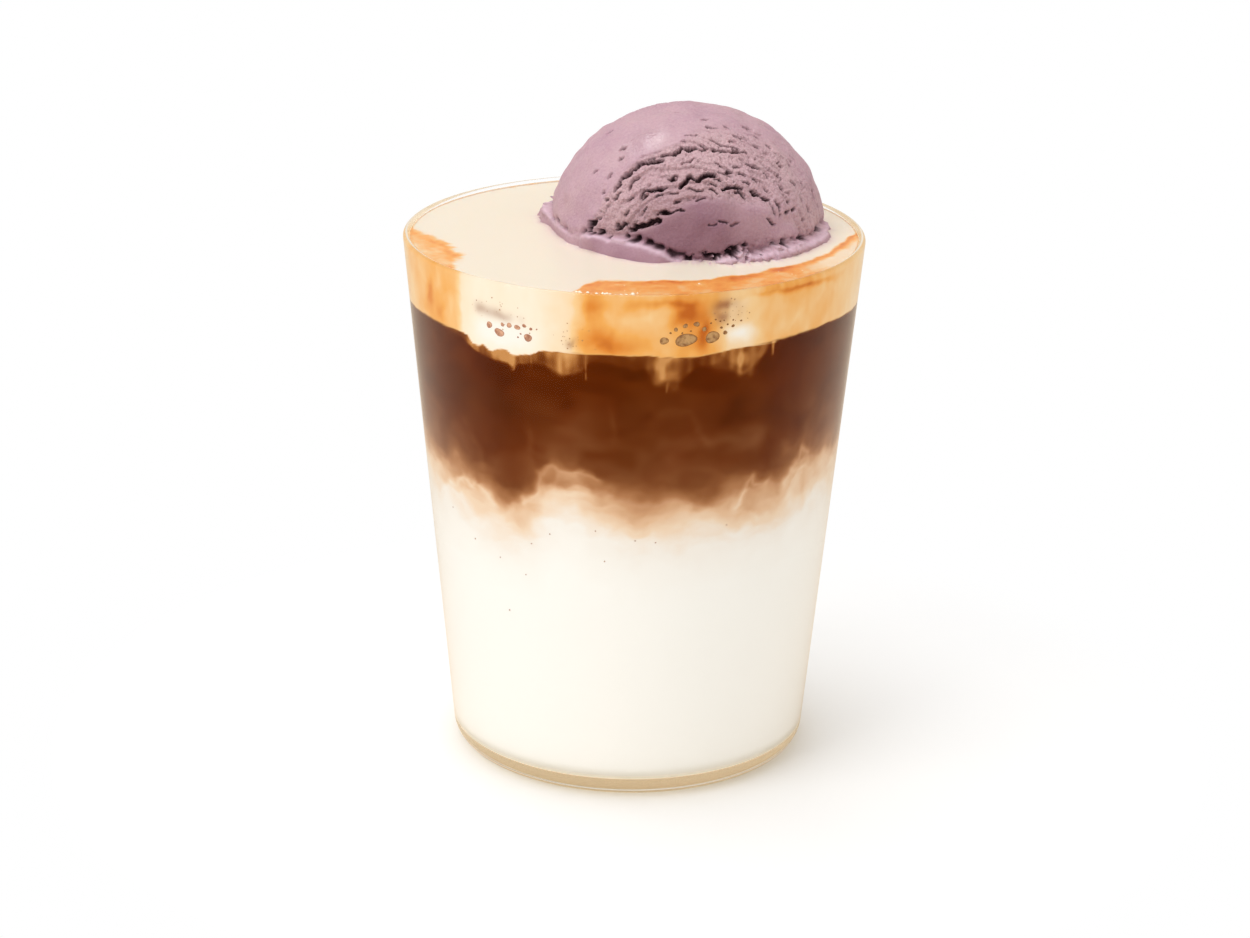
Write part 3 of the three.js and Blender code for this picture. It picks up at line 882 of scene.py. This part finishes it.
def dome(azimuth, elevation):
    """Distance of the scoop's surface from its middle, and how much of each of SCOOP_MARKS it has."""
    facing = polar(azimuth, np.cos(elevation), np.sin(elevation))
    out = np.degrees(np.arccos(np.clip(-facing[..., 1], -1, 1)))
    turned = np.degrees(np.arctan2(facing[..., 0], facing[..., 2]))
    ellipse = 1 / np.hypot(np.cos(elevation) / SCOOP_RADIUS, np.sin(elevation) / SCOOP_HEIGHT)
    mm = facing * SCOOP_RADIUS
    lumps = LUMP * (noise(*scaled(mm, LUMP_SIZE)) - 0.5)
    torn = torn_zone(out + 5 * layered(*scaled(mm, 4)), turned)
    # Millimetres along and across the contours that the scoop's edge drew, which wander a little
    along = np.radians(turned) * np.sin(np.radians(out)) * SCOOP_RADIUS
    across = np.radians(out + 3 * layered(*scaled(mm + 20, 5))) * SCOOP_RADIUS
    relief, holes = torn_relief(along, across, mm, torn)
    cracks = crack_depth(out, turned, mm)
    skin = ellipse + lumps - cracks - relief - 0.06 * layered(*scaled(mm, 0.6), layers=2)
    radius, on_lip, groove, crest_highlight = with_lip(azimuth, elevation, skin, mm)
    bare = 1 - on_lip
    # Painted shade in the cracks, holes and the groove behind the lip
    deep = bare * (smooth(cracks, 0.35, 1) + 0.9 * smooth(holes, 0.3, 0.7))
    deep = deep + 0.85 * smooth(groove, 0.4, 1.1)
    wet = smooth(np.hypot(out - 60, (turned + 24) * 0.6), 11, 3)
    # Painted shade on the dome's lower front
    low = smooth(out, 46, 12) * bare
    # Painted shade on the lip's front sheet
    shaded_sheet = on_lip * np.interp(np.degrees(azimuth), [-56, -40, -8, 8], [0, 1, 1, 0])
    return radius, np.clip(deep, 0, 1), shaded_sheet, wet, low, torn * bare, crest_highlight


def scoop_azimuths():
    even = 2 * np.pi * np.arange(SCOOP_STEPS) / SCOOP_STEPS
    even = np.where(even > np.pi, even - 2 * np.pi, even)
    return even - SCOOP_CROWDING * np.sin(even)


def bowl_rings(azimuth, shore, depth, elevations):
    """Rings of a bowl below the cream's top, under the scoop. shore is its edge's radius."""
    rings = []
    for elevation in np.radians(elevations):
        z = CREAM_TOP + depth * math.sin(elevation)
        rings.append(polar(azimuth, shore * math.cos(elevation), z, SCOOP_X, SCOOP_Y))
    return rings


def scoop():
    azimuth = scoop_azimuths()
    shore = dome(azimuth, 0 * azimuth)[0]
    bowl = bowl_rings(azimuth, shore, SCOOP_DEPTH, [-80, -65, -50, -35, -22, -12, -5])
    elevations = np.radians(np.concatenate([np.arange(0, 14, 0.35), np.arange(14, 89.7, 0.42)]))[:, None]
    radius, *marks = dome(*np.broadcast_arrays(azimuth, elevations))
    z = CREAM_TOP + radius * np.sin(elevations)
    shown = polar(azimuth, radius * np.cos(elevations), z, SCOOP_X, SCOOP_Y)
    bottom = [SCOOP_X, SCOOP_Y, CREAM_TOP - SCOOP_DEPTH]
    top = [SCOOP_X, SCOOP_Y, float(z[-1].mean())]
    made = ringed("scoop", bottom, np.concatenate([bowl, shown]), top)
    for name, mark in zip(SCOOP_MARKS, marks):
        set_values(made, name, np.concatenate([np.zeros(1 + len(bowl) * SCOOP_STEPS), mark.ravel(), [0]]))
    stands_for(made, "ice_cream", ice_cream_look())


# Cream

MENISCUS = 0.3  # how high the cream climbs the scoop, and over what distance
MENISCUS_REACH = 0.7
BRIM = 0.25  # how high it climbs the glass, and over what distance
BRIM_REACH = 0.9
SCOOP_OVERLAP = 0.4  # how far the cream reaches into the scoop, at its side and at its bottom
POCKET_OVERLAP = 0.3
MELT_AND_SHADE = 0.55  # how much ice cream has melted into the cream at the scoop, with painted shade of the scoop there, and over what distance
MELT_AND_SHADE_REACH = 0.7


def cream_top_rings(azimuth, shore, reach):
    """Rings from the glass to the scoop, whose distances from the scoop's axis are reach and shore."""
    near_shore = [0, 0.004, 0.012, 0.025, 0.045]
    near_glass = [0.95, 0.965, 0.978, 0.988, 0.995, 1]
    rings = []
    for share in np.concatenate([near_shore, np.linspace(0.07, 0.93, 60), near_glass])[::-1]:
        distance = shore - SCOOP_OVERLAP + (reach - shore + SCOOP_OVERLAP) * share
        climb = MENISCUS * np.exp(-(distance - shore) / MENISCUS_REACH)
        climb = climb + BRIM * np.exp(-(reach - distance) / BRIM_REACH)
        rings.append(polar(azimuth, distance, CREAM_TOP + climb, SCOOP_X, SCOOP_Y))
    return rings


def paint_cream(made):
    """Values for the cream's top, where the glass isn't near, besides those for its side."""
    x, y, z = points_of(made).T
    radius = np.hypot(x, y)
    azimuth = np.degrees(np.arctan2(x, -y))
    inwards = drink_radius(z) - radius
    on_top = smooth(inwards, 0.02, 0.3)
    froth_and_shade = froth_at_glass(azimuth, z) * (1 - on_top) + froth_on_top(azimuth, radius) * on_top
    # A brown line of painted shade along the glass, wider at the front and at the back than at the sides
    line = 0.3 + 0.55 * np.cos(np.radians(azimuth)) ** 2
    rim_shade_line = smooth(inwards, 1.2 * line, 0.6 * line) * on_top
    shore = dome(np.arctan2(x - SCOOP_X, SCOOP_Y - y), 0 * x)[0]
    from_scoop = np.maximum(np.hypot(x - SCOOP_X, y - SCOOP_Y) - shore, 0)
    set_values(made, "veil", np.where(z > COFFEE_TOP + 1.5, 1, cream_veil(azimuth, z)))
    set_values(made, "froth_and_shade", froth_and_shade)
    set_values(made, "smudge_and_shade", ice_smudge(azimuth, z) * (1 - on_top) + 0.45 * rim_shade_line)
    # Pink of melted ice cream, and painted shade of the scoop, on the cream round it
    set_values(made, "melt_and_shade", MELT_AND_SHADE * np.exp(-from_scoop / MELT_AND_SHADE_REACH) * on_top)


def cream():
    # Columns at even steps round the glass, seen from the scoop's axis
    rim = polar(COLUMNS, drink_radius(CREAM_TOP), CREAM_TOP)
    azimuth = np.arctan2(rim[:, 0] - SCOOP_X, -(rim[:, 1] - SCOOP_Y))
    reach = np.hypot(rim[:, 0] - SCOOP_X, rim[:, 1] - SCOOP_Y)
    shore = dome(azimuth, 0 * azimuth)[0]
    shore = sum(np.roll(shore, shift) for shift in range(-4, 5)) / 9
    low = COFFEE_TOP + cream_swing(COLUMNS)
    middle = [SCOOP_X, SCOOP_Y, COFFEE_TOP]
    edge = polar(COLUMNS, drink_radius(low), low)
    under = [np.array(middle) * (1 - share) + edge * share for share in (0.4, 0.75)]
    top = cream_top_rings(azimuth, shore, reach)
    side = wall_rings(low, top[0][:, 2], FINE)
    depth = SCOOP_DEPTH - POCKET_OVERLAP
    pocket = bowl_rings(azimuth, shore - SCOOP_OVERLAP, depth, [-15, -35, -55, -75])
    bottom = [SCOOP_X, SCOOP_Y, CREAM_TOP - depth]
    made = drink_layer("cream", middle, [*under, *side, *top[1:], *pocket], bottom, side_look("cream_side"))
    paint_cream(made)
    made.data.materials.append(cream_top_look())
    is_top = np.zeros(len(made.data.polygons), int)
    is_top[DRINK_STEPS * (len(under) + len(side)):] = 1
    made.data.polygons.foreach_set("material_index", is_top)


# Bubbles

BUBBLE_SIDES = 20

# Bubbles in the froth against the glass: azimuth, height, width and height in millimetres
PALE_BUBBLES = [
    [-38, 89.6, 1.2, 1.2], [-35, 88.6, 1.9, 1.5], [-33.9, 90.2, 0.7, 0.7], [-31.9, 90.3, 1, 0.9],
    [-29.6, 90.2, 1.1, 0.9], [-27.6, 90.7, 0.8, 0.6], [-25.8, 90.3, 0.6, 0.5], [-26.7, 88.6, 1.6, 1.3],
    [-29.5, 88.4, 0.3, 0.35], [-28.7, 89.1, 0.35, 0.3], [-24.2, 90.4, 0.25, 0.3], [-41.7, 93.6, 0.2, 0.2],
]
DARK_BUBBLES = [
    [7.5, 89.6, 1.4, 1.4], [12.9, 89.6, 3.6, 2.4], [19.6, 89.8, 2.3, 2.3], [10.3, 91.6, 0.7, 0.7],
    [12.6, 92.2, 0.8, 0.8], [15.4, 92.4, 1, 0.9], [17.4, 91.4, 0.8, 0.8], [22.9, 90.4, 0.8, 0.7],
    [24.9, 91.5, 0.6, 0.5], [27, 92.3, 0.35, 0.35], [11.9, 90.9, 0.3, 0.3], [21.8, 91.4, 0.5, 0.4],
    [23.4, 91.9, 0.35, 0.3], [21.4, 92.6, 0.35, 0.3], [20.2, 93, 0.3, 0.3], [22.4, 92.7, 0.25, 0.25],
    [24.8, 92.6, 0.3, 0.3], [14, 91.2, 0.3, 0.3], [19, 92.4, 0.35, 0.3], [9, 91, 0.35, 0.35],
]
# Coffee grounds in the milk, in the same way
MILK_SPECKS = [
    [-49.6, 46.9, 0.4, 0.3], [-39.7, 45, 0.3, 0.25], [-30.9, 42.9, 0.3, 0.25], [-28.5, 49.3, 0.35, 0.25],
    [-22.7, 51.8, 0.3, 0.3], [-9.6, 53.4, 0.25, 0.3], [-7.1, 47.6, 0.3, 0.3], [1.3, 51.8, 0.35, 0.25],
    [6.9, 51.4, 0.3, 0.25], [27.2, 53.6, 0.25, 0.25], [-37.5, 34.9, 0.35, 0.35], [-60, 51, 0.3, 0.3],
    [110, 48, 0.3, 0.3], [150, 52, 0.3, 0.3], [-140, 50, 0.3, 0.3],
]


def froth_dots():
    """Tiny bubbles strewn round the marks that the ice makes."""
    rows = []
    for left, right, z_left, z_right, *_ in SMUDGES:
        for count in range(22):
            across, up = [
                corner_value(count, left, step) + corner_value(count, right, step) - 1 for step in (1, 2)
            ]
            azimuth = (left + right) / 2 + (right - left + 9) * 0.6 * across
            z = (z_left + z_right) / 2 + 3.4 * up + 0.3
            size = 0.1 + 0.16 * corner_value(count, left, 3) ** 2
            rows.append([azimuth, z, size, size])
    return rows


def bubbles(name, rows, middle, rim):
    """Flat lenses of air that press on the glass, joined in one mesh."""
    points, faces, edges = [], [], []
    turned = -2 * np.pi * np.arange(BUBBLE_SIDES) / BUBBLE_SIDES
    # Share of the width, how far out of the froth and how much of the rim's colour, front to back
    rounds = [
        [0, 0.08, 0], [0.45, 0.075, 0], [0.8, 0.06, 0.1], [0.94, 0.05, 0.75], [1, 0, 0.5], [0.6, -0.08, 0],
        [0, -0.1, 0],
    ]
    for azimuth, height, wide, tall in rows:
        faces += closed_faces(len(rounds) - 2, BUBBLE_SIDES, len(points))
        wobble = 1 + 0.08 * np.sin(2 * turned + azimuth) + 0.05 * np.sin(3 * turned + height)
        for share, outward, edge in rounds:
            columns = BUBBLE_SIDES if share else 1
            size = (share * wobble)[:columns]
            z = height + tall / 2 * size * np.sin(turned[:columns])
            across = np.radians(azimuth) + wide / 2 * size * np.cos(turned[:columns]) / WALL_RADIUS
            points += polar(across, drink_radius(z) + outward, z).tolist()
            edges += [max(edge, float(smooth(wide, 1, 0.3)))] * columns
    made = new_object(name, points, faces)
    set_values(made, "edge", edges)
    look = Look(name)
    mottled = look.mix(look.spread(look.noise(0.9, 2), 0.4, 0.65), middle, rim)
    body = look.mix(look.value("edge"), mottled, rim)
    made.data.materials.append(look.finish(look.principled(body, 0.25, 0.3)))
    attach(made, "root")


def beads():
    """Small wet drops at the foot of the ice cream's lip and bubbles on the froth at the rim, glossy and
    paler than the cream, as painted glints.
    """
    sides, rows = 10, 6
    drops = []
    for count in range(46):
        azimuth = math.radians(-66 + 1.05 * count + 1.2 * corner_value(count, 3, 1))
        shore = float(dome(np.array(azimuth), np.array(0.0))[0]) + 0.1 + 0.25 * corner_value(count, 5, 2)
        size = 0.08 + 0.16 * corner_value(count, 7, 3) ** 2
        drops.append([polar(azimuth, shore, CREAM_TOP + 0.1, SCOOP_X, SCOOP_Y), size])
    for count in range(40):
        azimuth = math.radians(-15 + 15 * corner_value(count, 11, 4))
        radius = 38.2 + 2.2 * corner_value(count, 13, 5)
        size = 0.1 + 0.3 * corner_value(count, 17, 6) ** 2
        drops.append([polar(azimuth, radius, CREAM_TOP + 0.1), size])
    for count in range(12):
        azimuth = math.radians(-8 + 70 * corner_value(count, 19, 7))
        radius = 33 + 7 * corner_value(count, 23, 8)
        size = 0.07 + 0.12 * corner_value(count, 29, 9) ** 2
        drops.append([polar(azimuth, radius, CREAM_TOP + 0.02), size])
    turn = 2 * np.pi * np.arange(sides) / sides
    points, faces = [], []
    for place, size in drops:
        faces += closed_faces(rows - 1, sides, len(points))
        for row in range(rows + 1):
            lift = math.pi * (row / rows - 0.5)
            columns = sides if 0 < row < rows else 1
            ring = polar(turn[:columns], size * math.cos(lift), 0.8 * size * math.sin(lift))
            points += (place + ring).tolist()
    made = new_object("glint_beads", points, faces)
    look = Look("glint_beads")
    # Paler than the cream: painted glints, besides their gloss
    made.data.materials.append(look.finish(look.principled(rgb(252, 238, 216), 0.08, 0.8)))
    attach(made, "root")


# Floor, light and camera

def floor():
    """White, and lit by itself further off, so that it runs into the white behind it."""
    edge = 4000
    corners = [[-edge, -edge, 0], [edge, -edge, 0], [edge, edge, 0], [-edge, edge, 0]]
    made = new_object("floor", corners, [[0, 1, 2, 3]])
    look = Look("floor")
    away = look.add("VectorMath", {0: look.place()}, operation="LENGTH").outputs["Value"]
    near = look.principled(look.mix(look.mirrored(), (0.96, 0.96, 0.96, 1), MIRRORED), 0.9, 0.1)
    white = look.mix(look.mirrored(), (1, 1, 1, 1), MIRRORED)
    far = look.shader("Emission", {"Color": white, "Strength": 1.0})
    share = look.spread(away, 36 * MM, 110 * MM)
    made.data.materials.append(look.finish(look.shader("MixShader", {0: share, 1: near, 2: far})))


# Square soft lamps that face the drink: place and size in metres, watts, colour
LAMPS = {
    "key_light": [(-0.75, -0.55, 0.95), 0.7, 4.9, (1, 1, 1)],
    "top_light": [(-0.1, 0.15, 1.2), 0.8, 7.5, (1, 1, 1)],
    "left_light": [(-1.2, 0.1, 0.35), 0.8, 0.3, (1, 1, 1)],
    "right_light": [(1.2, 0.1, 0.45), 0.8, 0.6, (1, 0.8, 0.6)],
    "front_light": [(0.3, -1.4, 0.6), 1.0, 1.5, (1, 1, 1)],
}
LIT_POINT = Vector((0, 0, 0.06))
# Strengths of the world, and the colour in which it and the floor are mirrored
WORLD_FRONT = 0.68
WORLD_BACK = 0.25
BACKDROP = 0.7
MIRRORED = (0.82, 0.7, 0.56, 1)


def lamps():
    for name, (place, size, watts, colour) in LAMPS.items():
        light = bpy.data.lights.new(name, "AREA")
        light.size = size
        light.energy = watts
        light.color = colour
        made = bpy.data.objects.new(name, light)
        made.location = place
        made.rotation_euler = (LIT_POINT - Vector(place)).to_track_quat("-Z", "Y").to_euler()
        bpy.context.collection.objects.link(made)


def world():
    studio = Look("studio", "worlds")
    bpy.context.scene.world = studio.owner
    direction = studio.add("TexCoord").outputs["Generated"]
    axes = studio.add("SeparateXYZ", {0: direction}).outputs
    # Bright low backdrop behind the drink, and darker from the camera's side to there
    strength = studio.spread(axes["Y"], -0.5, 0.6, WORLD_FRONT, WORLD_BACK)
    backdrop = studio.times(studio.spread(axes["Z"], 0.5, 0.3), studio.spread(axes["Y"], 0.0, 0.4))
    strength = studio.maths("ADD", strength, studio.times(backdrop, BACKDROP))
    # Gloss mirrors it a little browner, and what is seen past or through the glass is white
    path = studio.add("LightPath").outputs
    colour = studio.mix(studio.mirrored(), (1, 0.96, 0.91, 1), MIRRORED)
    fill = studio.shader("Background", {"Color": colour, "Strength": strength})
    seen = studio.shader("Background", {"Color": (1, 1, 1, 1)})
    is_seen = studio.maths("MAXIMUM", path["Is Camera Ray"], path["Is Transmission Ray"])
    mixed = studio.shader("MixShader", {0: is_seen, 1: fill, 2: seen})
    studio.add("OutputWorld", {"Surface": mixed})


def camera():
    """Looks along +Y and down, at a point near the middle of the glass, turned a little to the left."""
    pitch = math.radians(19.42)
    roll = math.radians(0.77)
    aim = Vector((-0.00112, 0, 0.05214))
    distance = 0.6142
    forward = Vector((0, math.cos(pitch), -math.sin(pitch)))
    level_up = Vector((0, math.sin(pitch), math.cos(pitch)))
    right = Vector((math.cos(roll), 0, 0)) + math.sin(roll) * level_up
    up = right.cross(forward)
    lens = bpy.data.cameras.new("camera")
    lens.lens = 95
    lens.sensor_width = 36
    lens.clip_end = 20
    made = bpy.data.objects.new("camera", lens)
    turn = Matrix((right, up, -forward)).transposed().to_4x4()
    made.matrix_world = Matrix.Translation(aim - distance * forward) @ turn
    bpy.context.collection.objects.link(made)
    bpy.context.scene.camera = made


camera()
lamps()
world()
floor()
tumbler()
milk()
coffee()
cream()
scoop()
bubbles("pale_bubbles", PALE_BUBBLES, rgb(224, 172, 138), rgb(168, 110, 82))
bubbles("dark_bubbles", DARK_BUBBLES, rgb(196, 150, 94), rgb(140, 92, 48))
bubbles("froth_dots", froth_dots(), rgb(190, 142, 98), rgb(190, 142, 98))
bubbles("milk_specks", MILK_SPECKS, rgb(176, 140, 116), rgb(190, 156, 134))
beads()
bpy.context.scene.view_settings.view_transform = "Standard"
